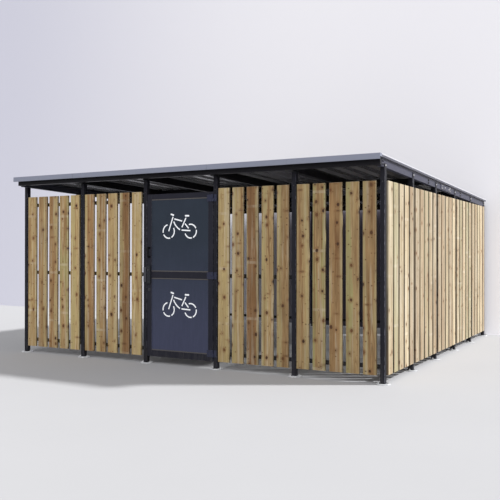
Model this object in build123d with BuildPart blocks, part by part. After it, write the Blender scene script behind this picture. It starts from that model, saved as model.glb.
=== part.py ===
"""Bike shelter: a steel post frame with a ribbed lean-to roof, timber boards and one door.

The origin is on the ground under the middle of the outline, X runs along the front from
left to right, Y runs from the front to the back and Z is up. All sizes are millimetres.
"""

import math
import os

from build123d import *

# Layout of the frame
front_bay = 1000.0
side_bay = 1000.0
bays_across = 5
bays_deep = 5
bays_left_of_door = 2

# Posts and their round base plates
post_face = 50.0
post_depth = 60.0
plate_diameter = 150.0
plate_thickness = 10.0
anchor_spacing = 104.0
anchor_hole = 12.0
tab_thickness = 8.0
tab_height = 68.0
corner_tab_height = 35.0

# Timber boards and the rails behind them
board_width = 145.0
board_thickness = 28.0
board_length = 2000.0
board_bottom = 88.0
board_inset = 8.0
side_board_stand = 14.0
boards_per_bay = 5
front_gap_left = 8.0
front_gap_right = 42.0
side_gap = 20.0
rail_height = 45.0
low_rail_up = 90.0
top_rail_down = 110.0
back_rail_level = 142.0

# Roof: rafters, edge beams, ribbed sheet and trims, sloping down to the back
roof_fall = 26.0
roof_clearance = 3.0
beam_width = 50.0
beam_depth = 85.0
channel_wall = 4.0
purlin_rows = 2
purlin_width = 40.0
splice_length = 520.0
splice_height = 68.0
splice_thickness = 5.0
front_beam_reach = 125.0
front_beam_depth = 75.0
roof_reach_front = 190.0
roof_reach_back = 25.0
roof_reach_side = 15.0
sheet_thickness = 2.0
rib_height = 28.0
rib_spacing = 200.0
rib_crown = 55.0
rib_flank = 30.0
trim_thickness = 2.0
front_trim_height = 60.0
trim_flange = 60.0
side_trim_flange = 40.0
trim_lip = 12.0

# Door leaf, hung on the right and opening outwards
door_gap = 6.0
door_bottom = 90.0
door_height = 1960.0
door_thickness = 40.0
stile_width = 65.0
top_rail_height = 62.0
middle_rail_height = 78.0
bottom_rail_height = 76.0
panel_thickness = 4.0
panel_recess = 6.0

# Hinges: two plates, a knuckle each and a pin, on the outside of door and post
hinge_height = 80.0
hinge_plate = 6.0
door_leaf_reach = 70.0
post_leaf_reach = 36.0
knuckle_radius = 9.0
pin_radius = 5.0
pin_clearance = 0.3
pin_stand_off = 14.0
knuckle_gap = 1.0
leaf_clearance = 12.0
bridge_thickness = 8.0
bridge_reach = 16.0

# Lock case, pull handle and strike
lock_width = 52.0
lock_height = 215.0
lock_depth = 22.0
lock_edge = 6.0
handle_length = 134.0
handle_radius = 8.0
handle_stand_off = 34.0
handle_gap = 95.5
stem_radius = 7.0
foot_radius = 13.0
foot_thickness = 5.0
strike_width = 38.0
strike_height = 180.0
strike_depth = 12.0

# Worked out from the sizes above
slope = math.atan(roof_fall / 1000.0)
outer_width = bays_across * front_bay + post_face
outer_depth = bays_deep * side_bay + post_face
side_face = outer_width / 2
frame_run = outer_depth / math.cos(slope)
rafter_seat = board_bottom + board_length + roof_clearance + outer_depth * math.tan(slope)
trim_top = beam_depth + sheet_thickness + rib_height + trim_thickness
trim_bottom = trim_top - front_trim_height
plate_reach = (plate_diameter - post_depth) / 2
roof_front = roof_reach_front * math.cos(slope) - trim_bottom * math.sin(slope)
roof_back = roof_reach_back * math.cos(slope) + trim_top * math.sin(slope)
front_reach = max(roof_front, plate_reach)
back_reach = max(roof_back, plate_reach)
front_face = (front_reach - back_reach - outer_depth) / 2
back_face = front_face + outer_depth
beam_face = side_face - tab_thickness
low_rail = board_bottom + low_rail_up
top_rail = board_bottom + board_length - top_rail_down
middle_rail = (low_rail + top_rail) / 2
rail_levels = [low_rail, middle_rail, top_rail]
rail_thickness = post_depth - board_inset - board_thickness
post_lines = [(i - bays_across / 2) * front_bay for i in range(bays_across + 1)]
side_lines = [front_face + post_face / 2 + i * side_bay for i in range(1, bays_deep)]

# Along-slope direction, the roof's up direction and its reference corner
roof_along = Vector(0, math.cos(slope), -math.sin(slope))
roof_up = Vector(0, math.sin(slope), math.cos(slope))
roof_corner = Vector(0, front_face, rafter_seat)


def roof_height(y):
    """Height of the rafters' underside over a place y."""
    return rafter_seat - (y - front_face) * math.tan(slope)


def roof_section(along):
    """Plane across the roof, its X to the right and its Y up, normal towards the front."""
    return Plane(origin=roof_corner + roof_along * along, x_dir=(1, 0, 0), z_dir=-roof_along)


def save(builder, name):
    """Label a finished piece and write it."""
    builder.part.label = name
    export_step(builder.part, f"parts/{name}.step")


def spread_boards(start, end, first_gap, last_gap):
    """Centres of one bay's boards, set out evenly between two posts."""
    first = start + first_gap + board_width / 2
    last = end - last_gap - board_width / 2
    pitch = (last - first) / (boards_per_bay - 1)
    return [first + i * pitch for i in range(boards_per_bay)]


def post_outline(y_low, y_high, extra=0.0):
    """Side view of a post whose top follows the roof."""
    return [
        (y_low, plate_thickness),
        (y_high, plate_thickness),
        (y_high, roof_height(y_high) + extra),
        (y_low, roof_height(y_low) + extra),
    ]


os.makedirs("parts", exist_ok=True)

# Clear openings between posts, seen along X and along Y
front_bays = [(post_lines[i] + post_face / 2, post_lines[i + 1] - post_face / 2) for i in range(bays_across)]
side_edges = [front_face + post_depth]
for line in side_lines:
    side_edges += [line - post_face / 2, line + post_face / 2]
side_edges.append(back_face - post_depth)
side_bays = [(side_edges[2 * i], side_edges[2 * i + 1]) for i in range(bays_deep)]

# Outer slices of the corner posts, which rise beside the side beams
corner_slices = {post_lines[0]: -side_face, post_lines[-1]: beam_face}

# Front posts
for number, x in enumerate(post_lines, 1):
    with BuildPart() as front_post:
        with BuildSketch(Plane.YZ.offset(x - post_face / 2)):
            with BuildLine():
                Polyline(*post_outline(front_face, front_face + post_depth), close=True)
            make_face()
        extrude(amount=post_face)
        if x in corner_slices:
            with BuildSketch(Plane.YZ.offset(corner_slices[x])):
                with BuildLine():
                    Polyline(*post_outline(front_face, front_face + post_depth, corner_tab_height), close=True)
                make_face()
            extrude(amount=tab_thickness)
    save(front_post, f"front_post_{number}")

# Back posts
with BuildPart() as back_posts:
    for x in post_lines:
        with BuildSketch(Plane.YZ.offset(x - post_face / 2)):
            with BuildLine():
                Polyline(*post_outline(back_face - post_depth, back_face), close=True)
            make_face()
        extrude(amount=post_face)
    for slice_x in corner_slices.values():
        with BuildSketch(Plane.YZ.offset(slice_x)):
            with BuildLine():
                Polyline(*post_outline(back_face - post_depth, back_face, corner_tab_height), close=True)
            make_face()
        extrude(amount=tab_thickness)
save(back_posts, "back_posts")

# Side posts, each with a tab that laps over the outer face of the side beam
with BuildPart() as side_posts:
    for post_x, tab_x in ((-side_face, -side_face), (side_face - post_depth, beam_face)):
        for line in side_lines:
            with BuildSketch(Plane.YZ.offset(post_x)):
                with BuildLine():
                    Polyline(*post_outline(line - post_face / 2, line + post_face / 2), close=True)
                make_face()
            extrude(amount=post_depth)
            with BuildSketch(Plane.YZ.offset(tab_x)):
                with BuildLine():
                    Polyline(*post_outline(line - post_face / 2, line + post_face / 2, tab_height), close=True)
                make_face()
            extrude(amount=tab_thickness)
save(side_posts, "side_posts")

# Round base plates, each with two anchor holes beside its post
front_spots = [(x, front_face + post_depth / 2) for x in post_lines]
back_spots = [(x, back_face - post_depth / 2) for x in post_lines]
left_spots = [(-side_face + post_depth / 2, y) for y in side_lines]
right_spots = [(side_face - post_depth / 2, y) for y in side_lines]
plate_rows = [(front_spots, 0), (back_spots, 0), (left_spots, 90), (right_spots, 90)]
with BuildPart() as base_plates:
    with BuildSketch():
        with Locations(*front_spots, *back_spots, *left_spots, *right_spots):
            Circle(plate_diameter / 2)
        for spots, turn in plate_rows:
            for x, y in spots:
                with Locations(Location((x, y, 0), (0, 0, turn))):
                    with GridLocations(anchor_spacing, 0, 2, 1):
                        Circle(anchor_hole / 2, mode=Mode.SUBTRACT)
    extrude(amount=plate_thickness)
save(base_plates, "base_plates")

# Boards of the front and the right side, one panel to a bay
front_board_y = front_face + board_inset + board_thickness / 2
right_board_x = side_face + side_board_stand - board_thickness / 2
for number, (start, end) in enumerate(front_bays, 1):
    if number - 1 == bays_left_of_door:
        continue
    with BuildPart() as front_boards:
        with BuildSketch(Plane.XY.offset(board_bottom)):
            places = spread_boards(start, end, front_gap_left, front_gap_right)
            with Locations(*[(x, front_board_y) for x in places]):
                Rectangle(board_width, board_thickness)
        extrude(amount=board_length)
    save(front_boards, f"front_boards_{number}")
for number, (start, end) in enumerate(side_bays, 1):
    with BuildPart() as right_boards:
        with BuildSketch(Plane.XY.offset(board_bottom)):
            with Locations(*[(right_board_x, y) for y in spread_boards(start, end, side_gap, side_gap)]):
                Rectangle(board_thickness, board_width)
        extrude(amount=board_length)
    save(right_boards, f"right_boards_{number}")

# Rails between the posts: three to a bay behind the boards, and a low one in each open bay of the back
front_rail_y = front_face + post_depth - rail_thickness / 2
back_rail_y = back_face - post_depth / 2
right_rail_x = right_board_x - (board_thickness + rail_thickness) / 2
with BuildPart() as front_rails:
    for level in rail_levels:
        with BuildSketch(Plane.XY.offset(level - rail_height / 2)):
            for index, (start, end) in enumerate(front_bays):
                if index != bays_left_of_door:
                    with Locations(((start + end) / 2, front_rail_y)):
                        Rectangle(end - start, rail_thickness)
        extrude(amount=rail_height)
save(front_rails, "front_rails")
with BuildPart() as back_rails:
    with BuildSketch(Plane.XY.offset(back_rail_level - rail_height / 2)):
        for start, end in front_bays:
            with Locations(((start + end) / 2, back_rail_y)):
                Rectangle(end - start, rail_thickness)
    extrude(amount=rail_height)
save(back_rails, "back_rails")
with BuildPart() as right_rails:
    for level in rail_levels:
        with BuildSketch(Plane.XY.offset(level - rail_height / 2)):
            for start, end in side_bays:
                with Locations((right_rail_x, (start + end) / 2)):
                    Rectangle(rail_thickness, end - start)
        extrude(amount=rail_height)
save(right_rails, "right_rails")

# Front and back beams across the rafters' ends
front_beam_end = beam_width - front_beam_reach
back_beam_start = frame_run - beam_width
with BuildPart() as front_beam:
    with BuildSketch(roof_section(front_beam_end)):
        with Locations((0, beam_depth - front_beam_depth / 2)):
            Rectangle(2 * beam_face, front_beam_depth)
    extrude(amount=beam_width)
save(front_beam, "front_beam")
with BuildPart() as back_beam:
    with BuildSketch(roof_section(frame_run)):
        with Locations((0, beam_depth / 2)):
            Rectangle(2 * beam_face, beam_depth)
    extrude(amount=beam_width)
save(back_beam, "back_beam")

# Side beams and inner rafters: channels that run down the slope, web to the right or outside
rafter_run = back_beam_start - front_beam_end
channels = {
    "side_beams": [(-beam_face, 1), (beam_face, -1)],
    "inner_rafters": [(x + beam_width / 2, -1) for x in post_lines[1:-1]],
}
for name, webs in channels.items():
    with BuildPart() as channel:
        with BuildSketch(roof_section(back_beam_start)):
            for web_x, inward in webs:
                with Locations((web_x + inward * beam_width / 2, beam_depth / 2)):
                    Rectangle(beam_width, beam_depth)
                with Locations((web_x + inward * (beam_width + channel_wall) / 2, beam_depth / 2)):
                    Rectangle(beam_width - channel_wall, beam_depth - 2 * channel_wall, mode=Mode.SUBTRACT)
        extrude(amount=rafter_run)
    save(channel, name)

# Purlins across between the rafters, in rows spread evenly down the slope
purlin_starts = [-beam_face + beam_width] + [x + beam_width / 2 for x in post_lines[1:-1]]
purlin_ends = [x - beam_width / 2 for x in post_lines[1:-1]] + [beam_face - beam_width]
with BuildPart() as purlins:
    for row in range(1, purlin_rows + 1):
        with BuildSketch(roof_section(frame_run * row / (purlin_rows + 1) + purlin_width / 2)):
            for start, end in zip(purlin_starts, purlin_ends):
                with Locations(((start + end) / 2, beam_depth / 2)):
                    Rectangle(end - start, beam_depth)
        extrude(amount=purlin_width)
save(purlins, "purlins")

# Splice plates outside the side beams, half way down the slope
with BuildPart() as splice_plates:
    with BuildSketch(roof_section((frame_run + splice_length) / 2)):
        for side in (-1, 1):
            with Locations((side * (beam_face + splice_thickness / 2), beam_depth / 2)):
                Rectangle(splice_thickness, splice_height)
    extrude(amount=splice_length)
save(splice_plates, "splice_plates")

# Ribbed roof sheet: a closed profile of valleys and crowns, its ribs running down the slope
sheet_half = side_face + roof_reach_side - trim_thickness
rib_count = max(1, round(2 * sheet_half / rib_spacing))
rib_pitch = 2 * sheet_half / rib_count
lower_line = [(-sheet_half, beam_depth)]
for index in range(rib_count):
    middle = -sheet_half + (index + 0.5) * rib_pitch
    lower_line += [
        (middle - rib_crown / 2 - rib_flank, beam_depth),
        (middle - rib_crown / 2, beam_depth + rib_height),
        (middle + rib_crown / 2, beam_depth + rib_height),
        (middle + rib_crown / 2 + rib_flank, beam_depth),
    ]
lower_line.append((sheet_half, beam_depth))
upper_line = [(x, z + sheet_thickness) for x, z in reversed(lower_line)]
sheet_end = frame_run + roof_reach_back
sheet_start = trim_thickness - roof_reach_front
with BuildPart() as roof_sheet:
    with BuildSketch(roof_section(sheet_end)):
        with BuildLine():
            Polyline(*lower_line, *upper_line, close=True)
        make_face()
    extrude(amount=sheet_end - sheet_start)
save(roof_sheet, "roof_sheet")

# Front trim: a face plate with a lip below, a flange over the sheet and closed ends
roof_half = side_face + roof_reach_side
flange_end = sheet_start + trim_flange
with BuildPart() as front_trim:
    with BuildSketch(roof_section(sheet_start)):
        with Locations((0, (trim_top + trim_bottom) / 2)):
            Rectangle(2 * roof_half, front_trim_height)
    extrude(amount=trim_thickness)
    with BuildSketch(roof_section(sheet_start + trim_lip)):
        with Locations((0, trim_bottom + trim_thickness / 2)):
            Rectangle(2 * roof_half, trim_thickness)
    extrude(amount=trim_lip)
    with BuildSketch(roof_section(flange_end)):
        with Locations((0, trim_top - trim_thickness / 2)):
            Rectangle(2 * roof_half, trim_thickness)
        for side in (-1, 1):
            with Locations((side * (roof_half - trim_thickness / 2), (trim_top + beam_depth) / 2)):
                Rectangle(trim_thickness, trim_top - beam_depth)
    extrude(amount=trim_flange)
save(front_trim, "front_trim")

# Side trims along the roof's edges, and a plate behind the back beam
with BuildPart() as side_trims:
    with BuildSketch(roof_section(sheet_end)):
        for side in (-1, 1):
            with Locations((side * (roof_half - side_trim_flange / 2), trim_top - trim_thickness / 2)):
                Rectangle(side_trim_flange, trim_thickness)
            with Locations((side * (roof_half - trim_thickness / 2), (trim_top + beam_depth) / 2)):
                Rectangle(trim_thickness, trim_top - beam_depth)
    extrude(amount=sheet_end - flange_end)
save(side_trims, "side_trims")
with BuildPart() as back_trim:
    with BuildSketch(roof_section(frame_run + trim_thickness)):
        with Locations((0, beam_depth / 2)):
            Rectangle(2 * beam_face, beam_depth)
    extrude(amount=trim_thickness)
save(back_trim, "back_trim")

# Door leaf: two stiles, three rails and two sheet panels
door_left = front_bays[bays_left_of_door][0] + door_gap
door_right = front_bays[bays_left_of_door][1] - door_gap
door_top = door_bottom + door_height
door_centre = (door_left + door_right) / 2
door_middle_y = front_face + door_thickness / 2
inner_width = door_right - door_left - 2 * stile_width
with BuildPart() as door_stiles:
    with BuildSketch(Plane.XY.offset(door_bottom)):
        with Locations((door_left + stile_width / 2, door_middle_y), (door_right - stile_width / 2, door_middle_y)):
            Rectangle(stile_width, door_thickness)
    extrude(amount=door_height)
save(door_stiles, "door_stiles")

door_rail_spans = [
    (door_bottom, door_bottom + bottom_rail_height),
    (middle_rail - middle_rail_height / 2, middle_rail + middle_rail_height / 2),
    (door_top - top_rail_height, door_top),
]
with BuildPart() as door_rails:
    for low, high in door_rail_spans:
        with BuildSketch(Plane.XY.offset(low)):
            with Locations((door_centre, door_middle_y)):
                Rectangle(inner_width, door_thickness)
        extrude(amount=high - low)
save(door_rails, "door_rails")

panel_y = front_face + panel_recess + panel_thickness / 2
panel_spans = {
    "door_panel_lower": (door_rail_spans[0][1], door_rail_spans[1][0]),
    "door_panel_upper": (door_rail_spans[1][1], door_rail_spans[2][0]),
}
for name, (low, high) in panel_spans.items():
    with BuildPart() as door_panel:
        with BuildSketch(Plane.XY.offset(low)):
            with Locations((door_centre, panel_y)):
                Rectangle(inner_width, panel_thickness)
        extrude(amount=high - low)
    save(door_panel, name)

# Hinge leaves of the door: a plate on the stile, a bridge and a bored upper knuckle
pin_x = (door_right + front_bays[bays_left_of_door][1]) / 2
pin_y = front_face - pin_stand_off
half_hinge = hinge_height / 2
door_plate_end = pin_x - leaf_clearance
door_plate_start = door_plate_end - door_leaf_reach
with BuildPart() as door_hinge_leaves:
    for level in rail_levels:
        with BuildSketch(Plane.XY.offset(level - half_hinge)):
            with Locations(((door_plate_start + door_plate_end) / 2, front_face - hinge_plate / 2)):
                Rectangle(door_leaf_reach, hinge_plate)
        extrude(amount=hinge_height)
        with BuildSketch(Plane.XY.offset(level + knuckle_gap / 2)):
            with Locations((pin_x, pin_y)):
                Circle(knuckle_radius)
            with Locations((pin_x - bridge_reach / 2, pin_y)):
                Rectangle(bridge_reach, bridge_thickness)
            with Locations((pin_x - (bridge_reach + leaf_clearance) / 2, (pin_y + front_face) / 2)):
                Rectangle(bridge_reach - leaf_clearance, pin_stand_off)
            with Locations((pin_x, pin_y)):
                Circle(pin_radius + pin_clearance, mode=Mode.SUBTRACT)
        extrude(amount=half_hinge - knuckle_gap / 2)
save(door_hinge_leaves, "door_hinge_leaves")

# Hinge leaves of the post: a plate on the post, a lower knuckle and the pin that stands in it
post_plate_start = pin_x + leaf_clearance
post_plate_end = post_plate_start + post_leaf_reach
with BuildPart() as post_hinge_leaves:
    for level in rail_levels:
        with BuildSketch(Plane.XY.offset(level - half_hinge)):
            with Locations(((post_plate_start + post_plate_end) / 2, front_face - hinge_plate / 2)):
                Rectangle(post_leaf_reach, hinge_plate)
        extrude(amount=hinge_height)
        with BuildSketch(Plane.XY.offset(level - half_hinge)):
            with Locations((pin_x, pin_y)):
                Circle(knuckle_radius)
            with Locations((pin_x + bridge_reach / 2, pin_y)):
                Rectangle(bridge_reach, bridge_thickness)
            with Locations((pin_x + (bridge_reach + leaf_clearance) / 2, (pin_y + front_face) / 2)):
                Rectangle(bridge_reach - leaf_clearance, pin_stand_off)
        extrude(amount=half_hinge - knuckle_gap / 2)
        with BuildSketch(Plane.XY.offset(level - half_hinge)):
            with Locations((pin_x, pin_y)):
                Circle(pin_radius)
        extrude(amount=hinge_height)
save(post_hinge_leaves, "post_hinge_leaves")

# Lock case on the left stile, level with the middle rail
lock_x = door_left + lock_edge + lock_width / 2
with BuildPart() as door_lock:
    with BuildSketch(Plane.XY.offset(middle_rail - lock_height / 2)):
        with Locations((lock_x, front_face - lock_depth / 2)):
            Rectangle(lock_width, lock_depth)
    extrude(amount=lock_height)
    fillet(door_lock.edges().filter_by(Axis.Z).group_by(Axis.Y)[0], radius=lock_depth / 4)
save(door_lock, "door_lock")

# Pull handle above it: an upright bar on two round feet
handle_x = door_left + stile_width / 2
handle_bottom = middle_rail + lock_height / 2 + handle_gap
foot_levels = [handle_bottom + foot_radius, handle_bottom + handle_length - foot_radius]
with BuildPart() as door_handle:
    with BuildSketch(Plane.XY.offset(handle_bottom)):
        with Locations((handle_x, front_face - handle_stand_off)):
            Circle(handle_radius)
    extrude(amount=handle_length)
    with BuildSketch(Plane.XZ.offset(-front_face)):
        with Locations(*[(handle_x, level) for level in foot_levels]):
            Circle(foot_radius)
    extrude(amount=foot_thickness)
    with BuildSketch(Plane.XZ.offset(-front_face)):
        with Locations(*[(handle_x, level) for level in foot_levels]):
            Circle(stem_radius)
    extrude(amount=handle_stand_off)
save(door_handle, "door_handle")

# Strike on the post beside the lock
strike_x = front_bays[bays_left_of_door][0] - post_face / 2
with BuildPart() as door_strike:
    with BuildSketch(Plane.XY.offset(middle_rail - strike_height / 2)):
        with Locations((strike_x, front_face - strike_depth / 2)):
            Rectangle(strike_width, strike_depth)
    extrude(amount=strike_height)
save(door_strike, "door_strike")
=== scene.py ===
"""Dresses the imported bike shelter: eased steel, sawn pine boards, a ribbed roof and a stencilled door."""

import logging
import math
import random
from dataclasses import dataclass, field
from enum import Enum
from typing import Callable, Iterable, Optional, Sequence, Union

import bmesh
import bpy
from bmesh.types import BMEdge, BMesh, BMFace, BMLayerItem, BMVert
from bpy.types import Node, NodeSocket, NodeTree
from mathutils import Matrix, Vector


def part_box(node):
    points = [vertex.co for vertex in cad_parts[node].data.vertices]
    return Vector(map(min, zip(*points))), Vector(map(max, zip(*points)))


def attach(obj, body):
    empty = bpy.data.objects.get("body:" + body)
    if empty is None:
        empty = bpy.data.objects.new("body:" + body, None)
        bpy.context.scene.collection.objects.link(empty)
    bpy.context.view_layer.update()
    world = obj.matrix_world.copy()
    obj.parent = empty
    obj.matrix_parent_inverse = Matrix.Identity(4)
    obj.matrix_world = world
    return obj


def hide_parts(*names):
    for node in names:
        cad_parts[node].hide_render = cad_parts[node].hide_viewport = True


Colour = tuple[float, float, float]
Pair = tuple[float, float]
Solid = tuple[Vector, Vector]
Feed = Union["Signal", NodeSocket, float, Sequence[float]]
Inputs = dict[Union[int, str], Feed]

LEAST_EDGE = 1.2  # length of the shortest edge that is eased, in reaches of its rounding
UP = Vector((0.0, 0.0, 1.0))
FORWARDS = Vector((0.0, -1.0, 0.0))
FRONT_POSTS = tuple(f"front_post_{number}" for number in range(1, 7))
POST_NODES = (*FRONT_POSTS, "side_posts", "back_posts")
log = logging.getLogger("shelter")

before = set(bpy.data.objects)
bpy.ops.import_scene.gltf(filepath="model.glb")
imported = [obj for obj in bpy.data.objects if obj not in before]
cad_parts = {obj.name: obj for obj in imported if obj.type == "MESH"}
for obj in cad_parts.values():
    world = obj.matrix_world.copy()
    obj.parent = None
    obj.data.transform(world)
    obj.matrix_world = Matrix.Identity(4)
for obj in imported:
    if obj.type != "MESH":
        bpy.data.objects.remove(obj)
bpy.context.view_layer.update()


class Body(Enum):
    """The bodies that pieces ride on."""

    SHELTER = "shelter"
    DOOR = "door"


class Tone(Enum):
    """Tones of treated pine: share of heartwood, of green salt tint, and lightness."""

    TAN = (0.55, 0.10, 0.92)
    HONEY = (0.30, 0.18, 1.02)
    PALE = (0.12, 0.25, 1.12)
    BLEACHED = (0.06, 0.15, 1.28)
    GREEN = (0.35, 0.65, 1.00)
    ROSY = (0.80, 0.12, 0.98)
    BROWN = (1.00, 0.05, 0.76)


class Signal:
    """A number, vector or colour in a node tree, which the usual signs work on."""

    def __init__(self, wiring: "Wiring", socket: NodeSocket) -> None:
        """Holds an output socket and the wiring that it belongs to."""
        self.wiring, self.socket = wiring, socket

    def __add__(self, other: Feed) -> "Signal":
        """The sum."""
        return self.wiring.math("ADD", self, other)

    def __sub__(self, other: Feed) -> "Signal":
        """The difference."""
        return self.wiring.math("SUBTRACT", self, other)

    def __rsub__(self, other: Feed) -> "Signal":
        """What this leaves of a number."""
        return self.wiring.math("SUBTRACT", other, self)

    def __mul__(self, other: Feed) -> "Signal":
        """The product."""
        return self.wiring.math("MULTIPLY", self, other)

    def stretched(self, x: float, y: float, z: float) -> "Signal":
        """The vector with each of its three numbers multiplied."""
        return self.wiring.vector("MULTIPLY", self, (x, y, z))

    def parts(self) -> list["Signal"]:
        """The vector's three numbers."""
        split = self.wiring.node("SeparateXYZ", {0: self})
        return [Signal(self.wiring, part) for part in split.outputs]


class Wiring:
    """Lays out the shader nodes of a material or of the sky."""

    def __init__(self, tree: NodeTree) -> None:
        """Starts from the nodes that a tree has."""
        self.tree = tree
        self.shader = tree.nodes.get("Principled BSDF")

    def feed(self, socket: NodeSocket, value: Feed) -> None:
        """Links an input to an output, or sets its value.

        Args:
            socket: the input.
            value: a signal or an output, or a number, a vector or a colour.
        """
        value = value.socket if isinstance(value, Signal) else value
        if isinstance(value, NodeSocket):
            self.tree.links.new(value, socket)
        elif socket.type == "RGBA":
            socket.default_value = (*value, 1.0)
        else:
            socket.default_value = value

    def node(self, kind: str, inputs: Optional[Inputs] = None, **settings: object) -> Node:
        """Adds a node.

        Args:
            kind: its type, without the ShaderNode prefix.
            inputs: what feeds its inputs, by name or number.
            settings: its own properties.

        Returns:
            The node.
        """
        made = self.tree.nodes.new(f"ShaderNode{kind}")
        for key, value in settings.items():
            setattr(made, key, value)
        for key, value in (inputs or {}).items():
            self.feed(made.inputs[key], value)
        return made

    def place(self) -> Signal:
        """Object coordinates, in metres."""
        return Signal(self, self.node("TexCoord").outputs["Object"])

    def attribute(self, name: str, output: str = "Vector") -> Signal:
        """A mesh attribute, as a vector or, with output Fac, as a number."""
        return Signal(self, self.node("Attribute", attribute_name=name).outputs[output])

    def math(self, operation: str, first: Feed, second: Feed = 0.0) -> Signal:
        """What one Math node works out."""
        return Signal(self, self.node("Math", {0: first, 1: second}, operation=operation).outputs[0])

    def vector(self, operation: str, first: Feed, second: Feed) -> Signal:
        """What one Vector Math node works out, as a vector."""
        made = self.node("VectorMath", {0: first, 1: second}, operation=operation)
        return Signal(self, made.outputs["Vector"])

    def length(self, vector: Feed) -> Signal:
        """How long a vector is."""
        return Signal(self, self.node("VectorMath", {0: vector}, operation="LENGTH").outputs["Value"])

    def join(self, x: Feed, y: Feed, z: Feed) -> Signal:
        """A vector made of three numbers."""
        return Signal(self, self.node("CombineXYZ", {"X": x, "Y": y, "Z": z}).outputs[0])

    def noise(self, where: Feed, scale: float, detail: float = 2.0, roughness: float = 0.5) -> Signal:
        """Cloudy noise from 0 to 1, with its scale in cells to a metre."""
        inputs = {"Vector": where, "Scale": scale, "Detail": detail, "Roughness": roughness}
        return Signal(self, self.node("TexNoise", inputs).outputs[0])

    def step(self, value: Feed, low: Feed, high: Feed) -> Signal:
        """A smooth step from 0 at low to 1 at high."""
        made = self.node("MapRange", {0: value, 1: low, 2: high}, interpolation_type="SMOOTHSTEP")
        return Signal(self, made.outputs[0])

    def mix(self, share: Feed, first: Feed, second: Feed) -> Signal:
        """A mix of two colours, with the share of the second."""
        return Signal(self, self.node("Mix", {0: share, 6: first, 7: second}, data_type="RGBA").outputs[2])

    def clouded(self, cloud: Signal, colour: Colour, dark: float, light: float) -> Signal:
        """A colour that drifts with a cloud between a darker and a lighter share of itself."""
        return self.mix(cloud, [c * dark for c in colour], [min(1.0, c * light) for c in colour])

    def coats(self, base: Feed, *layers: tuple[Signal, float, Feed]) -> Signal:
        """Lays colours over a base, one after another.

        Args:
            base: the colour underneath.
            layers: where each colour lies, how strongly, and the colour.

        Returns:
            The colour that shows.
        """
        for where, strength, colour in layers:
            base = self.mix(where * strength, base, colour)
        return base

    def shade(self, inputs: Inputs) -> None:
        """Feeds the Principled shader's inputs."""
        for key, value in inputs.items():
            self.feed(self.shader.inputs[key], value)

    def bump(self, height: Feed, strength: float, depth: float) -> None:
        """Raises the surface by a height from 0 to 1, with its depth in metres."""
        made = self.node("Bump", {"Height": height, "Strength": strength, "Distance": depth})
        self.shade({"Normal": made.outputs[0]})

    def choose(self, share: Feed, first: NodeSocket, second: NodeSocket, output: str) -> None:
        """Sends two shaders to an output node, with the share of the second."""
        choice = self.node("MixShader", {0: share, 1: first, 2: second})
        self.feed(self.tree.nodes[output].inputs["Surface"], choice.outputs[0])


@dataclass(frozen=True)
class Finish:
    """A finish and the slot that it is named for."""

    slot: str

    def wire(self, wiring: Wiring) -> None:
        """Lays out the finish's nodes."""
        raise NotImplementedError


@dataclass(frozen=True)
class PowderCoat(Finish):
    """Powder coat on steel: orange peel, cloudy tone, edges lighter as rubbed wear and on the posts also as a
    painted highlight, and a tint towards the ground: dust on most finishes, lighter and bluer on the door
    panels.
    """

    colour: Colour
    roughness: float = 0.42
    rubbed_and_highlit: Colour = (0.11, 0.112, 0.12)
    rub_and_highlight: float = 0.35
    dust: float = 0.30
    dust_colour: Colour = (0.11, 0.105, 0.10)
    dust_height: float = 0.35
    streaks: float = 1.0
    peel: float = 420.0
    peel_depth: float = 0.00012
    shine: float = 0.10

    def wire(self, wiring: Wiring) -> None:
        """Lays out the coat's nodes.

        Args:
            wiring: the material's nodes.
        """
        place = wiring.place()
        cloud = wiring.noise(place, 3.5, 4.0, 0.6)
        grime = wiring.noise(place.stretched(1.0, 1.0, 0.12), 40.0, 4.0, 0.65)
        # The eased edges are lightened: rubbed wear, and on the posts also a painted highlight.
        worn = wiring.attribute("edge", "Fac") * wiring.step(wiring.noise(place, 22.0, 3.0, 0.7), 0.45, 0.62)
        low = 1.0 - wiring.step(place.parts()[2], 0.0, self.dust_height)
        dusty = low * ((wiring.step(grime, 0.35, 0.75) - 1.0) * self.streaks + 1.0) * self.dust
        base = wiring.coats(
            wiring.clouded(cloud, self.colour, 0.82, 1.2),
            (wiring.step(grime, 0.5, 0.9), 0.08, self.dust_colour),
            (dusty, 1.0, self.dust_colour),
            (worn, self.rub_and_highlight, self.rubbed_and_highlit),
        )
        roughness = cloud * 0.16 + (self.roughness - 0.08) + dusty * 0.5
        wiring.shade({"Base Color": base, "Roughness": roughness, "Specular IOR Level": self.shine})
        wiring.bump(wiring.noise(place, self.peel), 0.35, self.peel_depth)


@dataclass(frozen=True)
class CoatedSheet(Finish):
    """Coil-coated sheet: an even tone with run-off streaks down the slope, chalking and dirt in patches."""

    colour: Colour
    grime: Colour = (0.10, 0.10, 0.095)
    roughness: float = 0.48
    streak: float = 0.30
    shine: float = 0.4
    rim: float = 0.3
    rim_and_highlight_colour: Colour = (0.43, 0.47, 0.54)

    def wire(self, wiring: Wiring) -> None:
        """Lays out the sheet's nodes.

        Args:
            wiring: the material's nodes.
        """
        place = wiring.place()
        run_off = wiring.noise(place.stretched(1.0, 0.08, 1.0), 34.0, 4.0, 0.6)
        patch = wiring.noise(place, 2.3, 4.0, 0.62)
        speck = wiring.noise(place, 160.0)
        base = wiring.coats(
            wiring.clouded(patch, self.colour, 0.9, 1.1),
            (wiring.step(run_off, 0.52, 0.78) * wiring.step(patch, 0.35, 0.7), self.streak, self.grime),
            # Rims of eased edges are lighter; on the side trims this is a painted highlight band along the
            # top.
            (wiring.attribute("edge", "Fac"), self.rim, self.rim_and_highlight_colour),
            (speck, 0.12, self.grime),
        )
        roughness = patch * 0.2 + (self.roughness - 0.1)
        wiring.shade({"Base Color": base, "Roughness": roughness, "Specular IOR Level": self.shine})
        wiring.bump(speck + run_off, 0.15, 0.0003)


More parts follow.
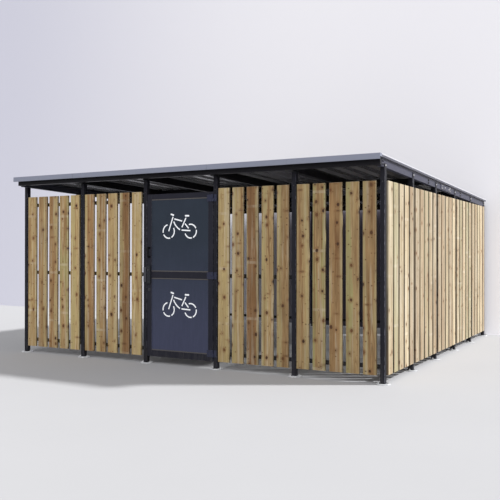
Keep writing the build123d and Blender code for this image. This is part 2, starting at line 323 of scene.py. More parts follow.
@dataclass(frozen=True)
class Zinc(Finish):
    """Hot-dip zinc: spangle of flat crystals, dull bloom in patches and brighter edges."""

    colour: Colour
    bloom: Colour = (0.60, 0.60, 0.58)
    metallic: float = 0.75
    roughness: float = 0.42
    spangle: float = 90.0

    def wire(self, wiring: Wiring) -> None:
        """Lays out the zinc's nodes.

        Args:
            wiring: the material's nodes.
        """
        place = wiring.place()
        cells = wiring.node("TexVoronoi", {"Vector": place, "Scale": self.spangle})
        tint = Signal(wiring, wiring.node("RGBToBW", {"Color": cells.outputs["Color"]}).outputs[0])
        cloud = wiring.noise(place, 30.0, 4.0, 0.65)
        base = wiring.coats(
            wiring.clouded(tint, self.colour, 0.75, 1.15),
            (wiring.step(cloud, 0.5, 0.75), 1.0, self.bloom),
            (wiring.attribute("edge", "Fac"), 0.4, [min(1.0, c * 1.5) for c in self.colour]),
        )
        roughness = cloud * 0.3 + (self.roughness - 0.15)
        wiring.shade({"Base Color": base, "Roughness": roughness, "Metallic": self.metallic})
        wiring.bump(tint + cloud, 0.2, 0.0001)


@dataclass(frozen=True)
class Stencil(Finish):
    """White stencil paint: a slightly grainy coat, thin in specks."""

    colour: Colour = (0.96, 0.98, 1.00)
    under: Colour = (0.30, 0.32, 0.36)

    def wire(self, wiring: Wiring) -> None:
        """Lays out the paint's nodes.

        Args:
            wiring: the material's nodes.
        """
        grain = wiring.noise(wiring.place(), 380.0, 3.0, 0.6)
        thin = wiring.step(wiring.noise(wiring.place(), 70.0, 4.0, 0.7), 0.60, 0.80)
        base = wiring.coats(self.colour, (thin, 0.18, self.under), (grain, 0.06, self.under))
        wiring.shade({"Base Color": base, "Roughness": grain * 0.2 + 0.45})
        wiring.bump(grain, 0.3, 0.0001)


@dataclass(frozen=True)
class Knots:
    """One crop of knots: the cell of each, the greatest radius, the share of bare cells and the shape."""

    cell: Pair
    radius: float
    bare: float
    shrink: Pair

    def wire(self, wiring: Wiring, spot: Signal) -> tuple[Signal, Signal, Signal]:
        """Lays out the crop's nodes.

        Args:
            wiring: the wood's nodes.
            spot: the board's own coordinates.

        Returns:
            How much of a knot each place is, how near to one it is, and the knot's shade.
        """
        wide, tall = self.cell
        across, _, along = spot.parts()
        flat = wiring.join(across, along, 0.0).stretched(1.0 / wide, 1.0 / tall, 0.0)
        inputs = {"Vector": flat, "Scale": 1.0, "Randomness": 0.9}
        cells = wiring.node("TexVoronoi", inputs, voronoi_dimensions="2D").outputs
        chance, shade, _ = Signal(wiring, cells["Color"]).parts()
        away = wiring.vector("SUBTRACT", flat, cells["Position"])
        away = wiring.length(away.stretched(wide * self.shrink[0], tall * self.shrink[1], 0.0))
        radius = wiring.step(chance, self.bare, 1.0) * self.radius
        ragged = (wiring.noise(spot, 90.0, 3.0, 0.6) - 0.5) * (self.radius * 0.9)
        inside = radius - (away + ragged)
        there = wiring.step(radius, self.radius * 0.1, self.radius * 0.4)
        near = wiring.step(inside, -self.radius * 1.6, 0.002) * there
        return wiring.step(inside, -0.001, 0.003) * there, near, shade


@dataclass(frozen=True)
class Timber(Finish):
    """Treated pine: rings round a pith, heartwood, salt tint, fibres, knots and the pale marks of laths."""

    sapwood: Colour = (0.43, 0.325, 0.155)
    heartwood: Colour = (0.27, 0.140, 0.055)
    latewood: Colour = (0.19, 0.100, 0.034)
    salt: Colour = (0.265, 0.250, 0.098)
    knot: Colour = (0.040, 0.017, 0.007)
    amber: Colour = (0.18, 0.078, 0.026)
    planed: Colour = (0.50, 0.42, 0.30)
    ring: float = 0.0095
    heart_radius: float = 0.058
    lath_spacing: float = 0.63
    lath_half: float = 0.017
    worn: float = 0.7
    # The flank share darkens the boards' narrow edges: painted shade in the gaps between boards.
    flank_shade: float = 0.85
    flank_starts: Pair = (0.0700, 0.0722)
    large: Knots = Knots((0.085, 0.22), 0.0170, 0.15, (1.0, 0.8))
    small: Knots = Knots((0.034, 0.12), 0.0065, 0.45, (0.8, 1.1))
    spikes: Knots = Knots((0.160, 0.40), 0.0130, 0.50, (0.45, 1.2))

    def rings(self, wiring: Wiring, grain: Signal, spot: Signal, near: Signal) -> tuple[Signal, Signal]:
        """Lays out the rings and the heartwood.

        Args:
            wiring: the wood's nodes.
            grain: the board's own coordinates.
            spot: the same, shifted for each board.
            near: how near each place is to a knot.

        Returns:
            How much heartwood and how much latewood each place has.
        """
        across, through, _ = grain.parts()
        pith, lift, _ = wiring.attribute("cut").parts()
        sway = (wiring.noise(spot.stretched(4.0, 4.0, 1.1), 1.0, 3.0) - 0.5) * 0.11
        dip = (wiring.noise(spot.stretched(0.0, 0.0, 0.8), 1.0) - 0.5) * 0.16
        radius = wiring.length(wiring.join(across - pith + sway, through + lift + dip, 0.0)) + near * 0.010
        ruffle = wiring.noise(spot.stretched(1.0, 1.0, 0.05), 60.0)
        inside = self.heart_radius - radius + (ruffle - 0.5) * 0.016
        years = wiring.noise(wiring.join(radius, pith, lift), 75.0, 2.0, 0.7)
        wave = wiring.math("SINE", radius * (math.tau / self.ring) + years * 9.0) * 0.5 + 0.5
        late = wiring.math("POWER", wave, 2.2) * wiring.step(years, 0.25, 0.65)
        return wiring.step(inside, -0.006, 0.008), late

    def laths(self, wiring: Wiring, grain: Signal, seed: Signal, mottle: Signal) -> Signal:
        """Lays out the pale bars that stacking laths leave across some boards.

        Args:
            wiring: the wood's nodes.
            grain: the board's own coordinates.
            seed: the board's own number.
            mottle: a cloudy noise that breaks the bars up.

        Returns:
            How strong a bar is at each place.
        """
        along = wiring.math("FRACT", wiring.math("DIVIDE", grain.parts()[2], self.lath_spacing) + seed)
        half = self.lath_half / self.lath_spacing
        bar = 1.0 - wiring.step(wiring.math("ABSOLUTE", along - 0.5), half * 0.75, half)
        marked = wiring.step(wiring.math("FRACT", seed * 5.3), 0.45, 0.75)
        return bar * marked * wiring.step(mottle, 0.3, 0.65)

    def wire(self, wiring: Wiring) -> None:
        """Lays out the wood's nodes, in each board's own coordinates.

        Args:
            wiring: the material's nodes.
        """
        grain = wiring.attribute("grain")
        seed = wiring.attribute("cut").parts()[2]
        heart, green, value = wiring.attribute("tone").parts()
        spot = wiring.vector("ADD", grain, wiring.join(seed, seed, seed).stretched(1.7, 2.3, 3.1))
        knot, near, shade = self.large.wire(wiring, spot)
        pin, pin_near, _ = self.small.wire(wiring, spot)
        spike, spike_near, _ = self.spikes.wire(wiring, spot)
        hearty, late = self.rings(wiring, grain, spot, near)
        fibre = wiring.noise(spot.stretched(1.0, 1.0, 0.018), 560.0, 3.0, 0.6)
        streak = wiring.noise(spot.stretched(1.0, 1.0, 0.028), 30.0, 4.0, 0.62)
        mottle = wiring.noise(spot.stretched(1.0, 1.0, 0.2), 13.0, 4.0, 0.65)
        hearty = hearty * heart
        edge = wiring.attribute("edge", "Fac") * wiring.step(mottle, 0.25, 0.55)
        dark = wiring.mix(shade * 0.75, self.knot, self.amber)
        base = wiring.coats(
            self.sapwood,
            (hearty, 1.0, self.heartwood),
            (late, 0.60, self.latewood),
            (wiring.step(mottle - hearty, 0.15, 0.6) * green, 1.0, self.salt),
            (wiring.step(streak, 0.52, 0.66), 0.68, self.amber),
            (wiring.step(fibre, 0.5, 0.8), 0.40, self.latewood),
            (wiring.step(streak, 0.48, 0.34), 0.52, self.planed),
            (near, 0.55, self.amber),
            (pin_near, 0.30, self.amber),
            (spike_near, 0.45, self.amber),
            (self.laths(wiring, grain, seed, mottle), 0.42, self.planed),
            (spike, 0.5, dark),
            (wiring.math("MAXIMUM", knot, pin), 1.0, dark),
            (edge, self.worn, self.planed),
        )
        # Painted shade: the boards' narrow edges are darkened by the flank share.
        painted_flank_shade = wiring.step(wiring.math("ABSOLUTE", grain.parts()[0]), *self.flank_starts)
        light = value * (1.0 - painted_flank_shade * (1.0 - self.flank_shade)) + (mottle - 0.5) * 0.80
        base = wiring.vector("MULTIPLY", base, wiring.join(light, light, light))
        wiring.shade({"Base Color": base, "Roughness": fibre * 0.22 + 0.60, "Specular IOR Level": 0.3})
        wiring.bump(late * 0.5 + fibre - knot, 0.4, 0.0006)


@dataclass(frozen=True)
class MattSheet(Finish):
    """A matt sheet of the studio, with a faint cloud in its tone."""

    colour: Colour

    def wire(self, wiring: Wiring) -> None:
        """Lays out the sheet's nodes."""
        base = wiring.clouded(wiring.noise(wiring.place(), 0.6, 3.0), self.colour, 0.97, 1.03)
        wiring.shade({"Base Color": base, "Roughness": 0.9, "Specular IOR Level": 0.1})


@dataclass(frozen=True)
class Backdrop(MattSheet):
    """The backdrop's paint: dimmer on the left, with painted shade close behind the shelter, and clear from
    its back.
    """

    left: Colour
    painted_shade: Colour

    def wire(self, wiring: Wiring) -> None:
        """Lays out the backdrop's nodes.

        Args:
            wiring: the material's nodes.
        """
        super().wire(wiring)
        across, _, up = wiring.place().parts()
        colour = wiring.mix(wiring.step(across, -10.0, 0.0), self.left, self.colour)
        # Painted shade: a dark patch on the backdrop where the shelter stands close in front of it.
        behind = wiring.step(across, -3.0, -0.6) * wiring.step(across, 2.4, 2.1) * wiring.step(up, 2.30, 2.05)
        wiring.shade({"Base Color": wiring.mix(behind, colour, self.painted_shade)})
        back = wiring.node("NewGeometry").outputs["Backfacing"]
        clear = wiring.node("BsdfTransparent").outputs[0]
        wiring.choose(back, wiring.shader.outputs[0], clear, "Material Output")


@dataclass(frozen=True)
class Palette:
    """The finishes of the shelter."""

    # The posts' edges are lighter than wear alone gives: a painted highlight on all their eased edges.
    post: PowderCoat = PowderCoat("post_steel", (0.0125, 0.0125, 0.0170), rubbed_and_highlit=(0.15, 0.15, 0.19), rub_and_highlight=0.5)
    beam: PowderCoat = PowderCoat("beam_steel", (0.0098, 0.0094, 0.0115))
    # The side beams' and splice plates' steel is the beam steel painted lighter and bluer: painted sunlight
    # and sheen on the shelter's sides.
    side_beam: PowderCoat = PowderCoat("sunlit_side_beam_steel", (0.062, 0.063, 0.088))
    rail: PowderCoat = PowderCoat("rail_steel", (0.013, 0.013, 0.015))
    door: PowderCoat = PowderCoat("door_steel", (0.0165, 0.0165, 0.0240))
    # The door panels' dust settings make them lighter and bluer from the ground up to 1.7 m.
    panel: PowderCoat = PowderCoat(
        "panel_steel", (0.025, 0.033, 0.047), dust=0.55, dust_colour=(0.085, 0.088, 0.160), dust_height=1.7,
        streaks=0.2,
    )
    # Level beads are painted lighter than the panel steel: painted highlight lines along the panels' top and
    # bottom.
    bead: PowderCoat = PowderCoat("bead_highlight_steel", (0.088, 0.081, 0.079))
    hinge: PowderCoat = PowderCoat("hinge_steel", (0.030, 0.033, 0.060))
    lock: PowderCoat = PowderCoat("lock_steel", (0.021, 0.022, 0.027))
    handle: PowderCoat = PowderCoat("handle_steel", (0.003, 0.003, 0.004), rub_and_highlight=0.1, dust=0.0)
    front_timber: Timber = Timber("front_timber")
    # The side boards' narrow edges get deep painted shade, for the dark gaps of the sunlit side wall.
    side_timber: Timber = Timber(
        "side_timber", sapwood=(0.44, 0.358, 0.245), heartwood=(0.360, 0.245, 0.145),
        latewood=(0.26, 0.175, 0.09), salt=(0.335, 0.320, 0.18), amber=(0.24, 0.135, 0.064),
        planed=(0.58, 0.51, 0.40), worn=0.25, flank_shade=0.30,
        large=Knots((0.085, 0.26), 0.0150, 0.45, (1.0, 0.8)),
        small=Knots((0.034, 0.16), 0.0060, 0.72, (0.8, 1.1)),
        spikes=Knots((0.160, 0.50), 0.0120, 0.75, (0.5, 1.2)),
    )
    roof: CoatedSheet = CoatedSheet(
        "roof_steel", (0.145, 0.145, 0.155), roughness=0.20, shine=1.0, rim_and_highlight_colour=(0.19, 0.19, 0.21),
    )
    trim: CoatedSheet = CoatedSheet("trim_steel", (0.212, 0.228, 0.292))
    # The side trims' near-white rim colour is a painted highlight along their top edge.
    side_trim: CoatedSheet = CoatedSheet(
        "side_trim_steel", (0.066, 0.067, 0.092), rim=0.95, rim_and_highlight_colour=(0.66, 0.66, 0.70),
    )
    plate: Zinc = Zinc("plate_steel", (0.62, 0.63, 0.64), bloom=(0.75, 0.75, 0.74), metallic=0.35)
    bright: Zinc = Zinc("bright_zinc", (0.62, 0.62, 0.62), roughness=0.3, spangle=400.0)
    fitting: Zinc = Zinc("fitting_steel", (0.05, 0.05, 0.055), bloom=(0.08, 0.08, 0.085), spangle=500.0)
    strike: Zinc = Zinc("strike_steel", (0.05, 0.05, 0.06), bloom=(0.08, 0.08, 0.09), metallic=0.4)
    stencil: Stencil = Stencil("stencil_white")


PALETTE = Palette()


def hang(name: str, data: bpy.types.ID, place: Optional[Matrix] = None) -> bpy.types.Object:
    """Puts a new object into the scene.

    Args:
        name: the object's name.
        data: its mesh, camera or lamp.
        place: its transform, if it stands anywhere but at the origin.

    Returns:
        The object.
    """
    made = bpy.data.objects.new(name, data)
    made.matrix_world = place or Matrix()
    bpy.context.scene.collection.objects.link(made)
    return made


def stand(name: str, shape: BMesh, finish: Finish) -> bpy.types.Object:
    """Turns a shape into a finished object, and makes the finish's material the first time.

    Args:
        name: the object's name.
        shape: its shape, in place; it is freed.
        finish: its finish.

    Returns:
        The object.
    """
    mesh = bpy.data.meshes.new(name)
    shape.to_mesh(mesh)
    shape.free()
    material = bpy.data.materials.get(f"{finish.slot}_finish")
    if material is None:
        material = bpy.data.materials.new(f"{finish.slot}_finish")
        material.use_nodes = True
        finish.wire(Wiring(material.node_tree))
    mesh.materials.append(material)
    return hang(name, mesh)


def set_piece(
    name: str, shape: BMesh, finish: Finish, body: Body = Body.SHELTER, replaced: Iterable[str] = (),
) -> None:
    """Turns a shape into a finished piece that rides on a body.

    Args:
        name: the piece's name.
        shape: its shape, in place; it is freed.
        finish: its finish.
        body: the body that it rides on.
        replaced: the CAD nodes that it stands for.
    """
    bmesh.ops.recalc_face_normals(shape, faces=shape.faces)
    piece = stand(name, shape, finish)
    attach(piece, body.value)
    if replaced:
        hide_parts(*replaced)
    log.info("%s: %d faces", name, len(piece.data.polygons))


def welded_copy(node: str) -> BMesh:
    """Copies a CAD node, with its points merged and its flat faces made whole.

    Args:
        node: the CAD node.

    Returns:
        The copy.
    """
    shape = bmesh.new()
    shape.from_mesh(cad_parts[node].data)
    bmesh.ops.remove_doubles(shape, verts=shape.verts, dist=1e-5)
    bmesh.ops.dissolve_limit(shape, angle_limit=math.radians(0.5), verts=shape.verts, edges=shape.edges)
    return shape


def solids(node: str) -> list[Solid]:
    """Measures the separate solids of a CAD node.

    Args:
        node: the CAD node.

    Returns:
        Their boxes, in order along X, then Y, then Z.
    """
    shape = welded_copy(node)
    boxes, waiting = [], set(shape.verts)
    while waiting:
        found = newest = {waiting.pop()}
        while newest:
            newest = {edge.other_vert(vert) for vert in newest for edge in vert.link_edges} - found
            found = found | newest
        waiting -= found
        boxes.append([Vector([pick(v.co[axis] for v in found) for axis in range(3)]) for pick in (min, max)])
    shape.free()
    return sorted(boxes, key=lambda box: tuple(round(c, 4) for c in box[0]))


def edge_layer(shape: BMesh) -> BMLayerItem:
    """The face layer that says which faces are eased edges."""
    return shape.faces.layers.float.get("edge") or shape.faces.layers.float.new("edge")


def bevel(shape: BMesh, edges: Iterable[BMEdge], radius: float, segments: int) -> list[BMFace]:
    """Rounds edges of a shape.

    Args:
        shape: the shape.
        edges: the edges.
        radius: the rounding's reach, in metres.
        segments: how many faces make the rounding.

    Returns:
        The new faces.
    """
    return bmesh.ops.bevel(
        shape, geom=list(edges), offset=radius, offset_type="OFFSET", segments=segments,
        profile=0.5, affect="EDGES", clamp_overlap=True, material=-1,
    )["faces"]


def ease(
    shape: BMesh, radius: float, segments: int = 2,
    choose: Optional[Callable[[BMEdge], bool]] = None, corner: float = math.radians(35),
) -> None:
    """Rounds the sharp edges of a shape and marks the new faces as edge.

    Args:
        shape: the shape.
        radius: the rounding's reach, in metres.
        segments: how many faces make the rounding.
        choose: which edges are rounded, if not all the sharp ones.
        corner: the least angle of a sharp edge.
    """
    layer = edge_layer(shape)
    edges = [e for e in shape.edges if len(e.link_faces) == 2 and e.calc_face_angle() > corner]
    edges = [e for e in edges if e.calc_length() > radius * LEAST_EDGE and (choose is None or choose(e))]
    for face in bevel(shape, edges, radius, segments):
        face.smooth = True
        face[layer] = 1.0


def dress(
    name: str, node: str, finish: Finish, radius: float, segments: int = 2,
    body: Body = Body.SHELTER, corner: float = math.radians(35),
) -> None:
    """Eases the sharp edges of a CAD node's copy and sets it in the node's place.

    Args:
        name: the piece's name.
        node: the CAD node.
        finish: its finish.
        radius: the rounding's reach, in metres.
        segments: how many faces make the rounding.
        body: the body that it rides on.
        corner: the least angle of a sharp edge.
    """
    shape = welded_copy(node)
    ease(shape, radius, segments, corner=corner)
    set_piece(name, shape, finish, body, [node])


def upright(edge: BMEdge) -> bool:
    """Whether an edge runs up and down."""
    return abs(edge.verts[0].co.z - edge.verts[1].co.z) > 0.9 * edge.calc_length()


def add_box(
    shape: BMesh, first: Sequence[float], last: Sequence[float], turn: Optional[Matrix] = None
) -> list[BMVert]:
    """Adds a box between two opposite corners.

    Args:
        shape: the shape that it joins.
        first: one corner.
        last: the corner opposite.
        turn: a transform applied to it.

    Returns:
        The box's vertices.
    """
    first, last = Vector(first), Vector(last)
    size = [abs(reach) for reach in last - first]
    matrix = Matrix.Translation((first + last) / 2) @ Matrix.Diagonal((*size, 1.0))
    return bmesh.ops.create_cube(shape, size=1.0, matrix=(turn or Matrix()) @ matrix)["verts"]


def facing(foot: Vector, axis: Vector) -> Matrix:
    """The transform that stands a shape made along +Z on a foot, along an axis."""
    return Matrix.Translation(foot) @ axis.to_track_quat("Z", "Y").to_matrix().to_4x4()


def add_disc(
    shape: BMesh, foot: Vector, axis: Vector, radius: float, height: float,
    sides: int = 24, taper: float = 1.0,
) -> None:
    """Adds a closed disc or cone.

    Args:
        shape: the shape that it joins.
        foot: the middle of its foot.
        axis: the way that it rises.
        radius: its radius at the foot.
        height: its height.
        sides: how many sides it has.
        taper: its radius at the top, as a share of that at the foot.
    """
    bmesh.ops.create_cone(
        shape, cap_ends=True, cap_tris=False, segments=sides, radius1=radius, radius2=radius * taper,
        depth=height, matrix=facing(foot, axis) @ Matrix.Translation((0.0, 0.0, height / 2)),
    )


@dataclass(frozen=True)
class Fixing:
    """A hexagon-headed bolt or screw on its washer, with a stud end where it is a nut."""

    corner: float
    height: float
    washer: float
    washer_thickness: float = 0.002
    stud: float = 0.0
    stud_height: float = 0.0
    sides: int = 6
    washer_sides: int = 16
    stud_sides: int = 10
    shoulder: float = 0.75
    washer_taper: float = 0.95
    head_taper: float = 0.8
    stud_taper: float = 0.85

    def drive(self, shape: BMesh, foot: Vector, axis: Vector) -> None:
        """Adds the fixing, with the top of its head chamfered above a shoulder.

        Args:
            shape: the shape that it joins.
            foot: where its washer sits.
            axis: the way that its head stands out, of length 1.
        """
        seat = foot + axis * self.washer_thickness
        top = seat + axis * self.height
        straight = self.height * self.shoulder
        rest = self.height - straight
        add_disc(shape, foot, axis, self.washer, self.washer_thickness, self.washer_sides, self.washer_taper)
        add_disc(shape, seat, axis, self.corner, straight, self.sides)
        add_disc(shape, seat + axis * straight, axis, self.corner, rest, self.sides, self.head_taper)
        if self.stud:
            add_disc(shape, top, axis, self.stud, self.stud_height, self.stud_sides, self.stud_taper)


ANCHOR = Fixing(0.0098, 0.008, 0.012, 0.0025, 0.005, 0.009)
BEAM_BOLT = Fixing(0.0085, 0.0065, 0.0105)
DARK_BOLT = Fixing(0.0105, 0.0070, 0.0135)
SMALL_BOLT = Fixing(0.0060, 0.0045, 0.0078, 0.0015)
ROOF_SCREW = Fixing(0.0048, 0.0050, 0.0085, 0.0022)
BUTTON = Fixing(0.0052, 0.0024, 0.0054, 0.0004, sides=8, washer_sides=8)


@dataclass(frozen=True)
class RoofPlane:
    """The plane of the rafters' undersides, which falls towards the back."""

    origin: Vector
    angle: float = math.atan(0.026)

    def direction(self, along: float, height: float) -> Vector:
        """A direction given by its share down the slope and square to it."""
        down = Vector((0.0, math.cos(self.angle), -math.sin(self.angle)))
        return down * along + Vector((0.0, math.sin(self.angle), math.cos(self.angle))) * height

    def point(self, x: float, along: float, height: float) -> Vector:
        """The point at a place across, a way down the slope and a height over the plane."""
        return self.origin + Vector((x, 0.0, 0.0)) + self.direction(along, height)


@dataclass
class Layout:
    """Places that several sub-assemblies share, read from the frame."""

    front: float = field(init=False)
    back: float = field(init=False)
    side: float = field(init=False)
    roof: RoofPlane = field(init=False)
    post_x: list[float] = field(init=False)
    post_y: list[float] = field(init=False)

    def __post_init__(self) -> None:
        """Reads the places of posts and of the roof's plane."""
        posts = [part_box(node) for node in FRONT_POSTS]
        self.post_x = [(low.x + high.x) / 2 for low, high in posts]
        self.front = posts[0][0].y
        self.side = posts[-1][1].x
        self.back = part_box("back_posts")[1].y
        self.post_y = sorted({round((low.y + high.y) / 2, 4) for low, high in solids("side_posts")})
        self.roof = RoofPlane(Vector((0.0, self.front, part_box("front_post_3")[1].z)))


@dataclass(frozen=True)
class Lamp:
    """A far lamp: its strength, the way that its light comes from, and how wide it looks, as an angle."""

    name: str
    energy: float
    source: Vector
    spread: float
    place: Vector = Vector((0.0, 0.0, 8.0))

    def light(self) -> None:
        """Hangs the lamp."""
        data = bpy.data.lights.new(self.name, "SUN")
        data.energy = self.energy
        data.angle = self.spread
        hang(self.name, data, facing(self.place, self.source.normalized()))


@dataclass
class Studio:
    """The camera, a plain pale floor and backdrop, and soft light from the right, a little from behind."""

    place: Vector = Vector((4.8997, -9.5924, 1.3518))
    turn: float = 0.50444
    tilt: float = 0.0029
    roll: float = 0.000985
    lens: float = 52.335
    sensor: float = 36.0
    reach: float = 60.0
    floor: MattSheet = MattSheet("floor", (0.44, 0.44, 0.45))
    # The backdrop's third colour is the painted shade for the patch behind the shelter.
    backdrop: Backdrop = Backdrop("backdrop", (0.88, 0.87, 0.90), (0.62, 0.62, 0.70), (0.115, 0.102, 0.127))
    backdrop_foot: Vector = Vector((2.6, 2.76, 0.0))
    backdrop_turn: float = math.radians(-3.5)
    flag: MattSheet = MattSheet("flag", (0.02, 0.02, 0.02))
    flag_ends: Pair = (-5.2, -0.05)
    flag_heights: Pair = (3.03, 2.36)
    flag_gap: float = 0.01
    sky_colour: Colour = (0.80, 0.80, 0.83)
    fill: float = 0.60
    lamps: tuple[Lamp, ...] = (
        Lamp("key", 4.6, Vector((1.0, 0.56, 1.0)), math.radians(4)),
        Lamp("front", 1.65, Vector((0.25, -0.85, 0.60)), math.radians(35)),
    )

    def set_camera(self) -> None:
        """Stands the camera where the photograph was taken from."""
        data = bpy.data.cameras.new("camera")
        data.lens = self.lens
        data.sensor_width = self.sensor
        data.clip_end = 200.0
        turn = Matrix.Rotation(self.turn, 4, "Z") @ Matrix.Rotation(math.pi / 2 + self.tilt, 4, "X")
        turn = Matrix.Translation(self.place) @ turn @ Matrix.Rotation(self.roll, 4, "Z")
        bpy.context.scene.camera = hang("camera", data, turn)

    def behind(self) -> Matrix:
        """The transform to the backdrop's foot."""
        return Matrix.Translation(self.backdrop_foot) @ Matrix.Rotation(self.backdrop_turn, 4, "Z")

    def hang_sheet(self, paint: MattSheet, matrix: Matrix) -> bpy.types.Object:
        """Hangs or lays a wide sheet.

        Args:
            paint: its finish, which it is named for.
            matrix: the transform that puts it in place.

        Returns:
            The sheet.
        """
        shape = bmesh.new()
        bmesh.ops.create_grid(shape, x_segments=4, y_segments=4, size=self.reach, matrix=matrix)
        sheet = stand(paint.slot, shape, paint)
        return sheet

    def hang_flag(self) -> None:
        """Hangs a flag just behind the backdrop that keeps the key lamp out of the shelter's open back."""
        shape = bmesh.new()
        bmesh.ops.create_grid(
            shape, x_segments=1, y_segments=1, size=0.5, matrix=Matrix.Rotation(math.pi / 2, 4, "X"),
        )
        for vert in shape.verts:
            end = 0 if vert.co.x < 0.0 else 1
            height = self.flag_heights[end] if vert.co.z > 0.0 else 0.0
            vert.co = (self.flag_ends[end], self.flag_gap, height)
        bmesh.ops.transform(shape, matrix=self.behind(), verts=shape.verts)
        flag = stand(self.flag.slot, shape, self.flag)
        flag.visible_camera = flag.visible_diffuse = flag.visible_glossy = False

    def fill_sky(self) -> None:
        """Fills the shadows from an even pale sky, which is seen and mirrored at its full strength."""
        world = bpy.data.worlds.new("sky")
        bpy.context.scene.world = world
        world.use_nodes = True
        sky = Wiring(world.node_tree)
        seen = sky.tree.nodes["Background"]
        sky.feed(seen.inputs["Color"], self.sky_colour)
        fill = sky.node("Background", {"Color": self.sky_colour, "Strength": self.fill})
        path = sky.node("LightPath").outputs
        sharp = sky.math("MAXIMUM", path["Is Camera Ray"], path["Is Glossy Ray"])
        sky.choose(sharp, fill.outputs[0], seen.outputs[0], "World Output")

    def build(self) -> None:
        """Sets up the camera, the floor, the backdrop, which stays out of the lamps' way, and the light."""
        bpy.context.scene.view_settings.view_transform = "Standard"
        self.set_camera()
        self.hang_sheet(self.floor, Matrix())
        standing = Matrix.Translation((0.0, 0.0, self.reach)) @ Matrix.Rotation(math.pi / 2, 4, "X")
        backdrop = self.hang_sheet(self.backdrop, self.behind() @ standing)
        backdrop.visible_shadow = backdrop.visible_diffuse = False
        self.hang_flag()
        for lamp in self.lamps:
            lamp.light()
        self.fill_sky()


@dataclass
class PostFrame:
    """The posts on their round plates, with weld beads and ground anchors."""

    layout: Layout
    post_radius: float = 0.004
    post_end: float = 0.0008
    bead: float = 0.005
    plate_edge: float = 0.0015
    anchor_spacing: float = 0.104
    same_row: float = 0.02

    def posts(self) -> None:
        """Rolls the corners of each post's tube and eases its ends."""
        for node in POST_NODES:
            shape = welded_copy(node)
            ease(shape, self.post_radius, 3, upright)
            ease(shape, self.post_end, 1)
            set_piece(f"{node}_tube", shape, PALETTE.post, replaced=[node])

    def feet(self) -> None:
        """Runs a weld bead round the foot of each post and eases the plates."""
        beads = bmesh.new()
        for low, high in (box for node in POST_NODES for box in solids(node)):
            foot = (low.x - self.bead, low.y - self.bead, low.z)
            add_box(beads, foot, (high.x + self.bead, high.y + self.bead, low.z + self.bead))
        ease(beads, self.bead * 0.7)
        set_piece("weld_beads", beads, PALETTE.post)
        dress("round_plates", "base_plates", PALETTE.plate, self.plate_edge)

    def anchors(self) -> None:
        """Sets a nut, a washer and a stud end in each of the plates' holes."""
        shape = bmesh.new()
        for low, high in solids("base_plates"):
            middle = (low + high) / 2
            on_side = min(abs(middle.y - y) for y in self.layout.post_y) < self.same_row
            reach = Vector((0.0, 1.0, 0.0)) if on_side else Vector((1.0, 0.0, 0.0))
            for way in (-1, 1):
                spot = middle + reach * way * self.anchor_spacing / 2
                spot.z = high.z
                ANCHOR.drive(shape, spot, UP)
        set_piece("ground_anchors", shape, PALETTE.bright)

    def build(self) -> None:
        """Makes the posts, their feet and the anchors."""
        self.posts()
        self.feet()
        self.anchors()


def wall_point(across: int, along: float, depth: float, height: float) -> Vector:
    """A point on a wall that runs along X, where across is 0, or along Y, where it is 1."""
    return Vector((depth, along, height) if across else (along, depth, height))


@dataclass(frozen=True)
class Lug:
    """A rail's end fitting: its blocks, each with start, end and depth, and the places of its screws."""

    blocks: tuple[tuple[float, float, float], ...]
    screws: tuple[float, ...]
    height: float = 0.034
    thickness: float = 0.003


LUG_LENGTH = 0.062
STRAIGHT = Lug(
    ((-LUG_LENGTH / 3, LUG_LENGTH * 2 / 3, 0.003),), (-LUG_LENGTH / 6, LUG_LENGTH / 6, LUG_LENGTH / 2),
)
FOLDED = Lug(((0.0, LUG_LENGTH * 0.6, 0.003), (0.0, 0.003, 0.016)), (LUG_LENGTH * 0.3, LUG_LENGTH * 0.48))


